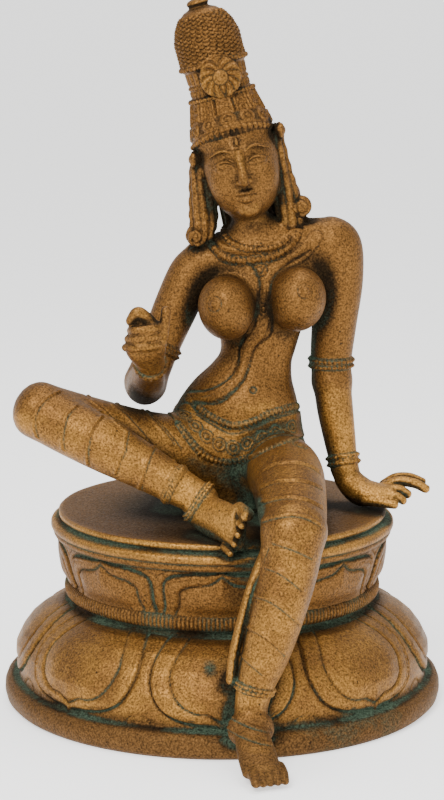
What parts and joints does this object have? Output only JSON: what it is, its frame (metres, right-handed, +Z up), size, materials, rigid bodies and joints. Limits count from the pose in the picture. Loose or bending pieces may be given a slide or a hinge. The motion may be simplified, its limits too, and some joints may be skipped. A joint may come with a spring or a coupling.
{
  "type": "seated goddess statuette",
  "caption": "Cast bronze goddess seated at ease on a round double lotus pedestal, with a tall crown, a raised right hand and a hanging left leg.",
  "frame": {"origin": "centre of the pedestal's underside", "axes": "+Z up, the figure faces -Y, +X is the viewer's right"},
  "size_m": [0.192, 0.2292, 0.3033],
  "materials": {
    "bronze": "aged bronze, golden brown on the raised forms, dark brown with green verdigris in the hollows"
  },
  "bodies": {
    "root": {"lotus_pedestal": "bronze", "figure": "bronze"}
  },
  "joints": []
}
